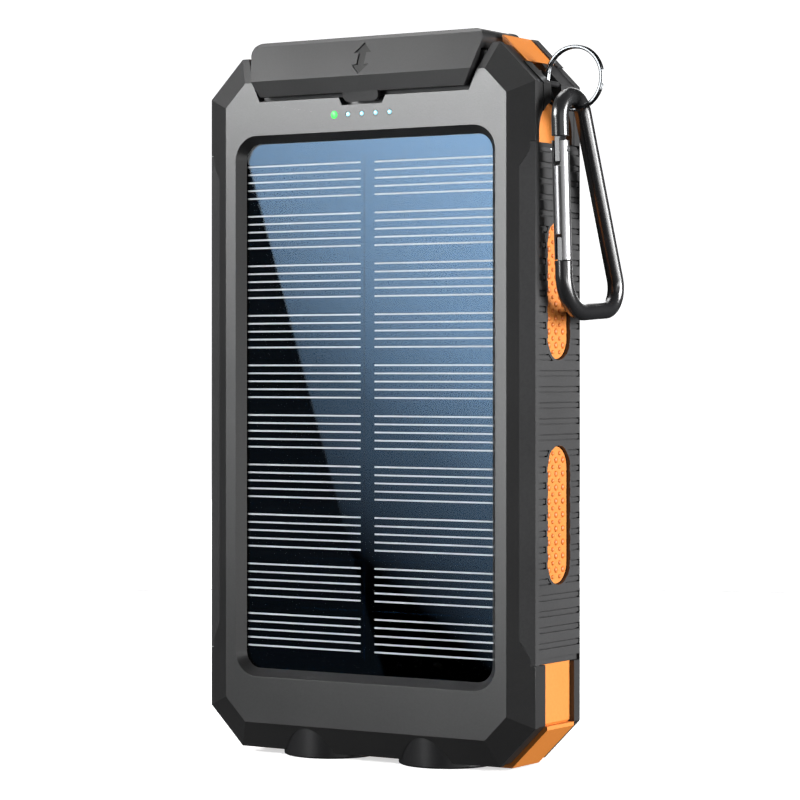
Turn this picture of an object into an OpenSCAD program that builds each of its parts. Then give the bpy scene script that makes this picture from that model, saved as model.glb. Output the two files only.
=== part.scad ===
// Pocket solar charger: a battery case with a solar panel on its front, ports under a flap on its top
// end, two torches in its bottom end, rubber grips on its sides and a snap hook on a split ring.
// +Z runs up to the port end, -Y is the panel side, +X is the side with the snap hook.
// The origin is the centre of the flat back face.

/* [Case] */
// Width of the case
case_w = 78; // [76:0.5:80]
// Height of the case without the torch rims and the port cover
case_h = 142; // [140:0.5:144]
// Thickness of the case, from the front face to the back face
case_t = 21; // [21:0.25:22]
// Size of the cut-off corners of the outline
corner_cut = 8; // [7:0.5:9]
// Width of the front bevel, seen from the front
bevel_w = 5.3; // [5:0.1:5.6]
// Depth of the front bevel
bevel_t = 2.2; // [1.8:0.1:2.4]
// Wall thickness of the shells
wall = 2; // [1.6:0.1:2.2]

/* [Solar panel] */
// Width of the visible glass
glass_w = 59.2; // [58:0.2:60]
// Height of the visible glass
glass_h = 107.8; // [106:0.2:108]
// Rows of cells
cell_rows = 10; // [6:1:12]
// Fingers in each row of cells
fingers_per_row = 5; // [3:1:6]

/* [Grips] */
// Height of the ribbed side grips
grip_h = 102; // [96:1:104]
// Spacing of the ribs
rib_pitch = 3.13; // [2.8:0.01:3.6]
// Length of the orange windows in the grips
window_l = 27.2; // [22:0.2:30]
// Width of the orange windows in the grips
window_w = 8.6; // [7:0.2:9]

/* [Torches] */
// Outer radius of a torch barrel
torch_r = 9.9; // [9.4:0.1:9.9]
// Distance of each torch from the centre line
torch_x = 14; // [13:0.25:15]
// How far the torch rims stand out below the case
torch_out = 1.2; // [0.8:0.1:1.5]

/* [Snap hook] */
// Radius of the hook's rod
rod_r = 1.7; // [1.5:0.05:1.75]
// Outer diameter of the split ring
ring_od = 13.1; // [12.9:0.1:13.2]

/* [Hidden] */

$fn = 48;
eps = 0.01;       // overlap of cutting tools
gap = 0.1;        // assembly clearance between fixed pieces

half_w = case_w / 2;
half_h = case_h / 2;
mid_y = -case_t / 2;
face_y = -case_t;
bevel_y = face_y + bevel_t;
lip_y = face_y + 3.4;             // rear edge of the lip behind the bevel
front_end_y = face_y + 6.7;       // rear edge of the front shell
rear_start_y = -3.5;              // front edge of the rear shell's side
rear_bevel = 1.2;
side_step = 0.35;                 // the wall behind the lip stands back by this much
band_inset = 1.0;                 // the bumper band stands back from the outline
shoulder_x = 28.75;               // inner end of the shoulders beside the port cover
shoulder_rise = 1.9;
core_inset = 3.2;                 // outline of the inner wall that the band is stretched over
core_wall = 1.6;
border_y = face_y + 3.5;          // back of the solid border around the panel

pocket_y = face_y + 1.75;         // depth of the panel window's sloped rim
rim_slope = 1.64;
panel_z = -0.7;                   // the panel sits slightly below the middle of the case
panel_lap = 1.3;                  // the cover runs this far behind the rim
cover_t = 0.6;
finger_t = 0.06;
cell_t = 0.12;
backing_t = 0.8;
gasket_w = 1.0;
panel_corner = 3.5;
cover_w = glass_w + 2 * panel_lap;
cover_h = glass_h + 2 * panel_lap;
cells_y = pocket_y + cover_t + finger_t;
row_pitch = (glass_h - 5.5) / cell_rows;
column_in = 1.7;                  // distance of each column of cells from the centre line
finger_pitch = 1.64;
finger_w = 0.33;

grip_z0 = -half_h + 20.2;
grip_z1 = grip_z0 + grip_h;
grip_y0 = face_y + 3.7;
grip_y1 = -rear_bevel;
grip_floor = half_w - 2.4;        // bottom of the recess that holds a grip
rib_depth = 0.7;
narrow_drop = 0.3;                // the narrow ribs are this much lower
flange_t = 0.9;                   // thickness of the grip's flange on the bevel
flange_reach = bevel_w * 0.55;    // the flange covers this much of the bevel
flange_rise = bevel_t * 0.55;
window_y = -9.5;
window_zs = [-21.8, 22.4];

notch_z = half_h - 9.3;           // lower edge of the port cover's notch
notch_half = 25.2;                // half width there
notch_slope = 0.45;               // widening of the notch per millimetre of height
tab_half = 4.2;                   // finger tab of the cover
tab_z = half_h - 10.4;            // lowest point of the finger tab
tab_lean = 12;                    // the tab leans in by this many degrees
flap_front_y = face_y - 1.4;
flap_crease_z = half_h - 5.2;
flap_top_y = face_y + 1.6;
flap_top_z = half_h + 3;
flap_wall = 1.8;
flap_tuck = 0.7;                  // the strip below the crease leans in by this much
flap_low_z = half_h - 8.4;        // lower edge of the cover
flap_low_half = 24.3;
flap_mid_half = 26.4;
flap_top_half = 28.1;
flap_end_x = 26.3;
hinge_y = -5.1;
hinge_z = half_h - 0.4;
hinge_r = 1.7;
hinge_ear_r = 1.3;
hinge_ear_x = 27.6;               // middle of each hinge ear
hinge_ear_half = 1.0;
trunnion_r = 0.8;
trunnion_l = 1.6;
running_gap = 0.05;
bezel_top = half_h - 1.5;
bezel_t = 1.6;
port_half = 26.5;                 // half width of the opening for the ports

board_y = -7.65;                  // component side of the main board
board_t = 1.6;
usb_x = 16;
usb_a_size = [13.1, 5.7, 14];     // width, height and depth of a type A receptacle
usb_c_size = [8.94, 3.16, 7.3];
light_z = half_h - 12.75;
light_pitch = 3.33;
light_count = 5;
button_z = half_h - 14.2;
button_r = 3.5;
button_seat_x = half_w - core_inset + 1.05;

lens_z = -half_h - 0.3;
barrel_top = -half_h + 12;
torch_y = mid_y - 0.3;            // the barrels sit slightly towards the front
lens_r = 8.25;
lens_t = 1.0;
bore_r = 8.3;
bowl_h = 8;                       // depth of the reflector
bowl_t = 0.45;
emitter_z = lens_z + 8.7;         // front of the light's base plate
emitter_w = 2.2;

screw_spots = [for (x = [-1, 1], p = [[30.4, -61.5], [31.5, 0], [30, 44.5]]) [x * p[0], p[1]]];
screw_r = 1.1;
boss_r = 2.3;
boss_meet_y = -8;

slot_w = 3.9;                     // lanyard slot between the two ears
slot_floor = 34.6;
ear_root_x = slot_floor - 2;      // the ears start here
ear_top = 67.4;
ear_inset = 0.1;
pocket_half = 6.2;                // arched pocket under the ears
pocket_top = 59.6;
pocket_floor = 35.7;
post_x = 38.05;
post_z = 63.0;
post_r = 0.55;
post_half = 4.6;                  // half length of the post
ring_x = 43.0;
ring_z = 63.9;
ring_wire = 0.8;
ring_coil_t = 0.56;

hook_x = ring_x;
hook_tilt = 3;                    // the hook hangs with its lower end this many degrees back
hook_pivot_z = ring_z - ring_od / 2 + ring_wire / 2;
gate_y = mid_y - 5.9;
pin_z = 49.9;
pin_r = 0.6;
gate_z0 = 28.5;
gate_z1 = 51.6;
tongue_t = 1.2;
tongue_w = 2.6;
slot_side = 0.15;                 // clearance of a tongue in its slot
plunger_z = [43.4, 46.2];
plunger_r = 0.85;
gate_bore_r = 0.9;
spring_z0 = 38.2;
spring_len = 5.0;
// hook path, drawn as (y, z): corners and the radius of each bend
hook_corners = [[gate_y, 52.5], [gate_y, hook_pivot_z + 2.5], [-8.2, hook_pivot_z + 2.5], [6.4, 18],
                [gate_y, 18], [gate_y, 28.3]];
hook_radii = [0, 4.4, 4.4, 4.6, 7.6, 0];
bend_steps = 12;
rod_sides = 28;

// ---- helpers ----

// extrudes an outline drawn as (x, z) along Y
module slab(y0, y1) {
    translate([0, y1, 0]) rotate([90, 0, 0]) linear_extrude(y1 - y0) children();
}

// extrudes an outline drawn as (y, z) along X
module plate_x(x0, x1) {
    translate([x0, 0, 0]) rotate([90, 0, 90]) linear_extrude(x1 - x0) children();
}

module box(x0, x1, y0, y1, z0, z1) {
    translate([x0, y0, z0]) cube([x1 - x0, y1 - y0, z1 - z0]);
}

// the case outline, drawn inwards by inset
module outline(inset = 0) {
    a = half_w - inset;
    b = half_h - inset;
    c = corner_cut - inset * (2 - sqrt(2));
    polygon([[a, b - c], [a - c, b], [c - a, b], [-a, b - c],
             [-a, c - b], [c - a, -b], [a - c, -b], [a, c - b]]);
}

module round_rect(w, h, r) {
    square([w - 2 * r, h], center = true);
    square([w, h - 2 * r], center = true);
    for (x = [-1, 1], y = [-1, 1]) translate([x * (w / 2 - r), y * (h / 2 - r)]) circle(r);
}

module capsule(w, l) {
    square([w, l - w], center = true);
    for (s = [-1, 1]) translate([0, s * (l - w) / 2]) circle(w / 2);
}

// cylinders along Z, X and Y between two coordinates
module rod_z(x, y, z0, z1, r) translate([x, y, z0]) cylinder(h = z1 - z0, r = r);
module rod_x(y, z, x0, x1, r) translate([x0, y, z]) rotate([0, 90, 0]) cylinder(h = x1 - x0, r = r);
module rod_y(x, z, y0, y1, r) translate([x, y1, z]) rotate([90, 0, 0]) cylinder(h = y1 - y0, r = r);

// room for the torch barrels in the pieces around them
module barrel_holes(extra = gap) {
    for (s = [-1, 1])
        rod_z(s * torch_x, torch_y, -half_h - 2, barrel_top + extra, torch_r + extra);
}

// the notch in the top end that the port cover closes
module notch_outline(shrink = 0) {
    top = half_h + 6;
    a = notch_half - shrink;
    b = a + notch_slope * (top - notch_z);
    polygon([[-a, notch_z + shrink], [a, notch_z + shrink], [b, top], [-b, top]]);
}

// recesses for the side grips
module grip_room(y0, y1) {
    for (s = [-1, 1])
        mirror([s < 0 ? 1 : 0, 0, 0])
            box(grip_floor, half_w + 1, y0, y1, grip_z0 - gap, grip_z1 + gap);
}

// shoulder beside the port cover: the line of the cut-off corner carried on above the case
module shoulder_outline(grow = 0) {
    top = half_h + shoulder_rise;
    line = half_w + half_h - corner_cut + grow;
    polygon([[shoulder_x, half_h - 3], [shoulder_x, top], [line - top, top], [line - half_h + 4, half_h - 4]]);
}

// arched pocket under the ears, drawn as (y, z)
module pocket_outline(shrink = 0) translate([mid_y, 0]) {
    half = pocket_half - shrink;
    translate([-half, grip_z1 - 1]) square([2 * half, pocket_top - pocket_half - grip_z1 + 1]);
    translate([0, pocket_top - pocket_half]) circle(half);
}

// slot and arched pocket in the lanyard corner, and the hole of the post
module lanyard_room() {
    box(slot_floor, half_w + 1, mid_y - slot_w / 2, mid_y + slot_w / 2, grip_z1 - 1, half_h + 1);
    plate_x(pocket_floor, half_w + 1) pocket_outline();
    rod_y(post_x, post_z, mid_y - post_half, mid_y + post_half, post_r);
}

// outline, in (x, y), of the grip's flange along the front bevel
function flange_points(grow) =
    [[half_w, bevel_y], [half_w - flange_reach, bevel_y - flange_rise],
     [half_w - flange_reach, bevel_y - flange_rise + flange_t + grow],
     [half_w - flange_t - grow, bevel_y + flange_t + grow],
     [half_w - flange_t - grow, grip_y0 + eps], [half_w, grip_y0 + eps]];

// the flange: its corners step in at both ends
module flange(grow = 0) {
    step = 1.6;
    reach = flange_reach;
    intersection() {
        translate([0, 0, grip_z0 - 1]) linear_extrude(grip_h + 2) polygon(flange_points(grow));
        slab(face_y - 1, grip_y0 + 1)
            polygon([[half_w + 1, grip_z0 - grow], [half_w - 0.9, grip_z0 - grow],
                     [half_w - 0.9, grip_z0 + step], [half_w - reach + 0.2 - grow, grip_z0 + step + reach],
                     [half_w - reach - 0.2 - grow, grip_z0 + step + reach],
                     [half_w - reach - 0.2 - grow, grip_z1 - step - reach],
                     [half_w - reach + 0.2 - grow, grip_z1 - step - reach],
                     [half_w - 0.9, grip_z1 - step], [half_w - 0.9, grip_z1 + grow],
                     [half_w + 1, grip_z1 + grow]]);
    }
}

// pocket behind the window for the panel and its gasket
module panel_room(y0, y1) {
    margin = 2 * panel_lap + 2 * gasket_w + gap;
    slab(y0, y1) translate([0, panel_z]) square([glass_w + margin, glass_h + margin], center = true);
}

// ---- case ----

module front_shell() color([0.25, 0.25, 0.26]) {
    window_w2 = glass_w + 2 * rim_slope;
    window_h2 = glass_h + 2 * rim_slope;
    difference() {
        union() {
            hull() {
                slab(face_y, face_y + eps) outline(bevel_w);
                slab(bevel_y, bevel_y + eps) outline();
            }
            slab(bevel_y, lip_y) outline();
            slab(lip_y, front_end_y) outline(side_step);
            // front ear of the lanyard corner
            intersection() {
                slab(front_end_y - 1, mid_y - slot_w / 2) outline(ear_inset);
                box(ear_root_x, half_w, face_y, mid_y, grip_z1 + gap, ear_top);
            }
        }
        // inside
        slab(border_y, front_end_y + 1) difference() {
            outline(core_inset + core_wall);
            translate([ear_root_x, grip_z1]) square([10, ear_top - grip_z1]);
        }
        // room for the inner wall of the rear shell
        slab(front_end_y - 1.5, front_end_y + 1) difference() {
            outline(core_inset - gap);
            outline(core_inset + core_wall + gap);
            translate([ear_root_x, grip_z1]) square([10, ear_top - grip_z1]);
        }
        // panel window with its sloped rim, and the pocket behind it
        hull() {
            slab(face_y - eps, face_y)
                translate([0, panel_z]) round_rect(window_w2, window_h2, panel_corner + rim_slope, $fn = 40);
            slab(pocket_y - eps, pocket_y)
                translate([0, panel_z]) round_rect(glass_w, glass_h, panel_corner, $fn = 40);
        }
        panel_room(pocket_y - eps, border_y + 1);
        // notch for the port cover, with a shallow one for its finger tab
        slab(face_y - 1, mid_y) notch_outline();
        slab(face_y - 1, face_y + 2.4) translate([0, notch_z]) polygon([
            [-tab_half - 0.6, -1.6], [tab_half + 0.6, -1.6], [tab_half + 1.9, 1], [-tab_half - 1.9, 1]]);
        // holes of the status lights
        for (i = [0 : light_count - 1])
            rod_y((i - (light_count - 1) / 2) * light_pitch, light_z, face_y - 1, border_y + 1, 0.6);
        barrel_holes();
        grip_room(grip_y0 - gap, 0);
        for (s = [0, 1]) mirror([s, 0, 0]) flange(0.08);
        lanyard_room();
    }
    // screw posts
    for (p = screw_spots) difference() {
        rod_y(p[0], p[1], border_y - eps, boss_meet_y, boss_r);
        rod_y(p[0], p[1], border_y + 2.5, boss_meet_y + 1, screw_r);
        panel_room(border_y - 1, border_y + 0.3);
    }
}

module rear_shell() color([0.22, 0.22, 0.23]) {
    difference() {
        union() {
            hull() {
                slab(-eps, 0) outline(rear_bevel);
                slab(-rear_bevel - eps, -rear_bevel) outline();
            }
            slab(rear_start_y, -rear_bevel) {
                outline();
                for (s = [0, 1]) mirror([s, 0]) shoulder_outline(0.4);
            }
            slab(front_end_y - 1.4, rear_start_y + eps) difference() {
                outline(core_inset);
                outline(core_inset + core_wall);
            }
            // rear ear and the floor of the lanyard slot
            intersection() {
                slab(mid_y + slot_w / 2, rear_start_y + eps) outline(ear_inset);
                box(ear_root_x, half_w, mid_y, 0, grip_z1 + gap, ear_top);
            }
            box(ear_root_x, slot_floor, mid_y - slot_w / 2 + gap, rear_start_y + eps, grip_z1, ear_top - 1.4);
            // hinge ears beside the port cover
            for (s = [-1, 1])
                plate_x(s * hinge_ear_x - hinge_ear_half, s * hinge_ear_x + hinge_ear_half) {
                    translate([hinge_y, hinge_z]) circle(hinge_ear_r);
                    translate([hinge_y - hinge_ear_r, half_h - 4])
                        square([rear_start_y - hinge_y + hinge_ear_r + 1, hinge_z - half_h + 4]);
                }
        }
        // room for the front ear
        box(ear_root_x - gap, half_w + 1, face_y, mid_y - slot_w / 2 + gap, grip_z1, ear_top + gap);
        slab(rear_start_y - eps, -wall) outline(core_inset + core_wall);
        // opening for the ports
        box(-port_half, port_half, face_y, rear_start_y, bezel_top - 9, half_h + 1);
        // room for the rounded rear edge of the port cover
        plate_x(-port_half, port_half) {
            polygon([[rear_start_y - 0.1, half_h - 2.3], [-1.5, half_h - 2.3], [-1.5, half_h - 1.4],
                     [-0.5, half_h + 0.1], [rear_start_y - 0.1, half_h + 0.1]]);
            translate([hinge_y, hinge_z]) circle(flap_top_z - hinge_z + 0.2);
        }
        for (s = [-1, 1])
            rod_x(hinge_y, hinge_z, s * hinge_ear_x - 1.1, s * hinge_ear_x + 1.1, trunnion_r + running_gap);
        // groove around the back
        slab(-0.5, 1) difference() { outline(9); outline(9.7); }
        // finger ridges on the back
        for (i = [-3 : 3], s = [-1, 1])
            translate([0, 0, s * 48 + i * 3]) box(-18, 18, -0.4, 1, -0.5, 0.5);
        barrel_holes();
        grip_room(rear_start_y - 12, grip_y1 + eps);
        lanyard_room();
        rod_x(mid_y, button_z, -half_w - 1, -slot_floor + 1.5, 2);
        for (p = screw_spots) {
            rod_y(p[0], p[1], -1.5, 1, 2.25);
            rod_y(p[0], p[1], -wall - 1, 1, screw_r + 0.15);
        }
    }
    for (p = screw_spots) difference() {
        rod_y(p[0], p[1], boss_meet_y + gap, -wall + eps, boss_r);
        rod_y(p[0], p[1], boss_meet_y - 1, 0, screw_r + 0.15);
    }
}

module bumper_frame() color([1.0, 0.5, 0.12]) {
    y0 = front_end_y + gap;
    y1 = rear_start_y - gap;
    difference() {
        union() {
            slab(y0, y1) difference() {
                union() {
                    outline(band_inset);
                    // and a pad on each cut-off corner beside the port cover
                for (s = [0, 1]) mirror([s, 0]) shoulder_outline(0);
                // the band stands out below the case
                    intersection() {
                        translate([0, -0.75]) outline();
                        translate([-half_w, -half_h - 2]) square([case_w, 10]);
                    }
                }
                outline(core_inset - gap);
            }
            // dotted pads that show through the windows of the grips
            for (s = [0, 1], z = window_zs) mirror([s, 0, 0])
                plate_x(grip_floor - 0.6, half_w - 0.75)
                    translate([window_y, z]) capsule(window_w - 2 * gap, window_l - 2 * gap);
        }
        difference() {
            grip_room(y0 - 5, y1 + 5);
            for (s = [0, 1], z = window_zs) mirror([s, 0, 0])
                plate_x(grip_floor - 1, half_w)
                    translate([window_y, z]) capsule(window_w - 2 * gap, window_l - 2 * gap);
        }
        box(-shoulder_x, shoulder_x, y0 - 1, y1 + 1, half_h - 12, half_h + 4);
        box(ear_root_x - gap, half_w + 1, y0 - 1, y1 + 1, grip_z1, ear_top + gap);
        lanyard_room();
        barrel_holes();
        rod_x(mid_y, button_z, -half_w - 1, -core_inset, button_r + 0.15);
    }
    // orange back of the arched pocket, joined to the band behind the grip
    plate_x(pocket_floor + gap, grip_floor) intersection() {
        pocket_outline(gap);
        translate([y0, grip_z1 - 1]) square([y1 - y0, 20]);
    }
}

// ribbed side grip: each pitch has a wide rib and a narrow one
module right_grip() color([0.35, 0.35, 0.36]) {
    base = half_w - rib_depth;
    count = floor(grip_h / rib_pitch);
    groove = 0.26;
    narrow = 0.55;
    z_first = grip_z0 + (grip_h - count * rib_pitch) / 2;
    profile = [for (i = [0 : count - 1]) let (z = z_first + i * rib_pitch)
        each [[base, z], [base, z + groove],
              [half_w, z + groove], [half_w, z + rib_pitch - narrow - 2 * groove],
              [base, z + rib_pitch - narrow - 2 * groove], [base, z + rib_pitch - narrow - groove],
              [half_w - narrow_drop, z + rib_pitch - narrow - groove],
              [half_w - narrow_drop, z + rib_pitch - eps]]];
    difference() {
        union() {
            slab(grip_y0, grip_y1) polygon(concat(
                [[grip_floor + gap, grip_z1], [grip_floor + gap, grip_z0], [base, grip_z0]],
                profile, [[base, grip_z1]]));
            flange();
            // smooth rims around the windows
            for (z = window_zs)
                plate_x(grip_floor + 1, half_w - 0.1)
                    translate([window_y, z]) capsule(window_w + 1.4, window_l + 1.4);
        }
        for (z = window_zs)
            plate_x(grip_floor - 1, half_w + 1)
                translate([window_y, z]) capsule(window_w + 2 * gap, window_l + 2 * gap);
    }
}

module left_grip() mirror([1, 0, 0]) right_grip();

// ---- solar panel ----

module panel_cover() color([0.75, 0.85, 0.95, 0.4])
    slab(pocket_y, pocket_y + cover_t) translate([0, panel_z]) square([cover_w, cover_h], center = true);

module panel_gasket() color([0.1, 0.1, 0.1])
    slab(pocket_y, border_y - gap) translate([0, panel_z]) difference() {
        square([cover_w + 2 * gasket_w, cover_h + 2 * gasket_w], center = true);
        square([cover_w + gap, cover_h + gap], center = true);
    }

module solar_cells() color([0.04, 0.05, 0.09])
    for (s = [-1, 1], i = [0 : cell_rows - 1])
        slab(cells_y, cells_y + cell_t)
            translate([s * (glass_w / 4 + 0.6), panel_z + (i - (cell_rows - 1) / 2) * row_pitch])
                square([glass_w / 2 - 0.6, row_pitch - 0.4], center = true);

// thin printed fingers in front of the cells
module cell_fingers() color([0.9, 0.93, 0.95])
    for (s = [-1, 1], i = [0 : cell_rows - 1], k = [0 : fingers_per_row - 1])
        slab(cells_y - finger_t, cells_y)
            translate([s * (glass_w / 2 + column_in) / 2, panel_z + (i - (cell_rows - 1) / 2) * row_pitch
                       + (k - (fingers_per_row - 1) / 2) * finger_pitch])
                square([glass_w / 2 - column_in, finger_w], center = true);

module panel_backing() color([0.05, 0.05, 0.06])
    slab(cells_y + cell_t, cells_y + cell_t + backing_t)
        translate([0, panel_z]) square([cover_w - 0.4, cover_h - 0.4], center = true);

// ---- ports and their cover ----

// cover section, drawn as (y, z)
module flap_section() {
    bend_r = flap_top_z - hinge_z;
    difference() {
        polygon([[flap_front_y + flap_tuck, flap_low_z], [flap_front_y - 0.1, flap_crease_z],
                 [flap_top_y - 0.25, flap_top_z - 0.8], [flap_top_y + 0.5, flap_top_z],
                 [hinge_y, flap_top_z], [hinge_y, hinge_z], [face_y + 1, hinge_z], [face_y + 1, flap_low_z]]);
        polygon([[flap_front_y + flap_wall, flap_low_z - 2], [flap_front_y + flap_wall - 0.1, flap_crease_z],
                 [flap_top_y + 1.2, flap_top_z - flap_wall], [hinge_y + 1, flap_top_z - flap_wall],
                 [hinge_y + 1, flap_low_z - 2]]);
    }
    translate([hinge_y, hinge_z]) {
        circle(hinge_r);
        // rounded rear edge
        intersection() {
            difference() { circle(bend_r); circle(hinge_r - 0.1); }
            square(bend_r);
        }
    }
}

// cover outline, drawn as (x, z), with rounded top corners
module flap_outline() {
    r = 2.2;
    polygon([[-flap_low_half, flap_low_z - 0.3], [flap_low_half, flap_low_z - 0.3],
             [flap_mid_half, flap_crease_z],
             [flap_top_half - 0.3, flap_top_z - r], [flap_top_half - 0.3 - r, flap_top_z],
             [r + 0.3 - flap_top_half, flap_top_z], [0.3 - flap_top_half, flap_top_z - r],
             [-flap_mid_half, flap_crease_z]]);
    for (s = [-1, 1]) translate([s * (flap_top_half - 0.3 - r), flap_top_z - r]) circle(r);
}

// double arrow, drawn flat
module arrow_outline() {
    square([1.8, 4], center = true);
    for (s = [-1, 1]) scale([1, s]) polygon([[-2.05, 1.3], [2.05, 1.3], [0, 3.5]]);
}

module port_cover() color([0.3, 0.3, 0.31]) {
    lean = atan2(flap_top_y - flap_front_y - 0.15, flap_top_z - 0.8 - flap_crease_z);
    difference() {
        union() {
            intersection() {
                plate_x(-30, 30) flap_section();
                union() {
                    slab(face_y - 3, hinge_y - hinge_r - 0.2) flap_outline();
                    box(-flap_end_x, flap_end_x, hinge_y - hinge_r - 0.3, 0, half_h - 4, flap_top_z);
                }
            }
            // side walls
            for (s = [-1, 1])
                intersection() {
                    slab(face_y - 3, hinge_y - hinge_r - 0.2) flap_outline();
                    plate_x(s * 26 - 2.4, s * 26 + 2.4) polygon([
                        [flap_front_y + flap_tuck, flap_low_z], [flap_front_y, flap_crease_z],
                        [flap_top_y, flap_top_z - 1], [hinge_y - hinge_r - 0.3, flap_top_z - 1],
                        [hinge_y - hinge_r - 0.3, bezel_top + 0.4], [face_y + 1.2, bezel_top + 0.4],
                        [face_y + 0.4, flap_low_z]]);
                }
            // finger tab
            translate([0, flap_front_y + flap_tuck, flap_low_z]) rotate([tab_lean, 0, 0])
                slab(0, flap_wall - flap_tuck) translate([0, -flap_low_z]) {
                    translate([-tab_half, tab_z + 1.3]) square([2 * tab_half, 2.5]);
                    translate([1.3 - tab_half, tab_z]) square([2 * tab_half - 2.6, 3]);
                    for (s = [-1, 1]) translate([s * (tab_half - 1.3), tab_z + 1.3]) circle(1.3);
                }
            rod_x(hinge_y, hinge_z, -flap_end_x - trunnion_l, flap_end_x + trunnion_l, trunnion_r);
        }
        // double arrow engraved in the sloping face
        translate([0, flap_front_y - 0.1, flap_crease_z]) rotate([-lean, 0, 0]) translate([0, 0, 3.75])
            slab(-1, 0.4) arrow_outline();
    }
}

module port_bezel() color([0.12, 0.12, 0.13]) {
    skirt_y = face_y + 1.5;
    difference() {
        union() {
            intersection() {
                box(-30, 30, skirt_y, rear_start_y - gap, bezel_top - bezel_t, bezel_top);
                slab(skirt_y - 1, 0) notch_outline(0.15);
                union() {
                    box(-30, 30, skirt_y, front_end_y - gap, 0, half_h);
                    box(gap - port_half, port_half - gap, skirt_y, hinge_y - hinge_r - 0.3, 0, half_h);
                }
            }
            intersection() {
                slab(skirt_y, skirt_y + bezel_t) notch_outline(0.15);
                box(-30, 30, face_y, 0, 0, bezel_top);
            }
        }
        for (s = [-1, 1]) box(s * usb_x - usb_a_size[0] / 2 - 0.15, s * usb_x + usb_a_size[0] / 2 + 0.15,
                              mid_y - 3, mid_y + 3, 50, half_h);
        translate([0, mid_y, 50]) linear_extrude(30) 
            round_rect(usb_c_size[0] + 0.26, usb_c_size[1] + 0.24, 1.6);
    }
}

// USB type A receptacle: folded steel shell and its plastic tongue
module usb_a_port() {
    w = usb_a_size[0] / 2;
    h = usb_a_size[1] / 2;
    z0 = bezel_top - usb_a_size[2];
    t = 0.3;
    color([0.75, 0.76, 0.78]) difference() {
        box(-w, w, mid_y - h, mid_y + h, z0, bezel_top);
        box(t - w, w - t, mid_y - h + t, mid_y + h - t, z0 + 0.4, bezel_top + 1);
    }
    color([0.95, 0.95, 0.95]) box(1 - w, w - 1, mid_y - 2.2, mid_y - 0.4, z0 + 0.2, bezel_top - 0.8);
}

module usb_a_port_left() translate([-usb_x, 0, 0]) usb_a_port();
module usb_a_port_right() translate([usb_x, 0, 0]) usb_a_port();

module usb_c_port() {
    color([0.75, 0.76, 0.78]) difference() {
        translate([0, mid_y, bezel_top - usb_c_size[2]]) linear_extrude(usb_c_size[2])
            round_rect(usb_c_size[0], usb_c_size[1], 1.5);
        translate([0, mid_y, bezel_top - usb_c_size[2] + 0.3]) linear_extrude(usb_c_size[2])
            round_rect(usb_c_size[0] - 0.6, usb_c_size[1] - 0.6, 1.25);
    }
    color([0.1, 0.1, 0.1]) box(-3.35, 3.35, mid_y - 0.35, mid_y + 0.35, bezel_top - 7.2, bezel_top - 0.5);
    color([0.75, 0.76, 0.78]) for (s = [-1, 1])
        box(s * 3.7 - 0.4, s * 3.7 + 0.4, mid_y + 1.2, board_y, bezel_top - 6, bezel_top - 4.5);
}

// ---- electronics ----

module main_board() color([0.05, 0.3, 0.15])
    box(-26, 26, board_y, board_y + board_t, 41, bezel_top - bezel_t - 2.5);

module board_chips() color([0.08, 0.08, 0.08]) {
    box(-9, -3, board_y - 1.2, board_y, 44, 50);
    box(4, 8, board_y - 1.2, board_y, 50, 54);
    box(-20, -16, board_y - 1.2, board_y, 46, 50);
    for (x = [-23, -13, 10, 22]) box(x, x + 1.6, board_y - 0.9, board_y, 51.5, 52.4);
}

module inductor() color([0.2, 0.2, 0.22]) {
    box(10, 17, board_y - 3, board_y, 43, 50);
    rod_y(13.5, 46.5, board_y - 3.4, board_y - 3 + eps, 2.6);
}

module status_leds() color([0.9, 1.0, 0.9])
    for (i = [0 : light_count - 1])
        translate([(i - (light_count - 1) / 2) * light_pitch - 0.5, board_y - 0.7, light_z - 0.8])
            cube([1, 0.7, 1.6]);

module light_pipe() color([0.85, 0.95, 1.0, 0.6]) {
    for (i = [0 : light_count - 1])
        rod_y((i - (light_count - 1) / 2) * light_pitch, light_z, face_y, board_y - 0.9, 0.55);
    box(-8, 8, border_y + 0.3, border_y + 1.5, light_z - 0.9, light_z + 0.9);
}

module power_button() color([0.15, 0.15, 0.16]) {
    rod_x(mid_y, button_z, -half_w + 0.35, -button_seat_x, button_r);
    rod_x(mid_y, button_z, -button_seat_x - eps, -slot_floor + 2.1, 1.8);
}

module tact_switch() color([0.2, 0.2, 0.2]) {
    box(-31.2, -28.4, mid_y - 2.2, board_y, button_z - 3, button_z + 3);
    rod_x(mid_y, button_z, -31.8, -31.2 + eps, 1.2);
    box(-28.4 - eps, -25, mid_y + 1.2, board_y, button_z - 3, button_z + 3);
}

module battery_cell() color([0.75, 0.76, 0.78])
    slab(-15.6, -5.2) translate([0, -6]) round_rect(56, 88, 1);

module battery_foam() color([0.1, 0.1, 0.1])
    for (z = [-36, 24], x = [-18, 18]) box(x - 7, x + 7, -5.2, -wall, z - 6, z + 6);

// a lead of the given radius through a few points, with balls at its corners
module lead(points, r) {
    for (i = [0 : len(points) - 2]) {
        d = points[i + 1] - points[i];
        translate(points[i]) rotate([0, acos(d[2] / norm(d)), atan2(d[1], d[0])])
            cylinder(h = norm(d), r = r, $fn = 16);
    }
    for (i = [1 : len(points) - 2]) translate(points[i]) sphere(r * 1.2, $fn = 16);
}

module battery_leads() color([0.8, 0.1, 0.1])
    for (x = [-4, 4]) lead([[x, -9.6, 38], [x, -9.6, 39.6], [x, board_y + board_t + 0.6, 40.6],
                            [x, board_y + board_t + 0.6, 43]], 0.6);

module panel_leads() color([0.8, 0.1, 0.1])
    for (x = [-22, -20])
        lead([[x, cells_y + cell_t + backing_t + gap, 48], [x, -12, 48], [x, board_y - 0.6, 43.5]], 0.5);

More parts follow.
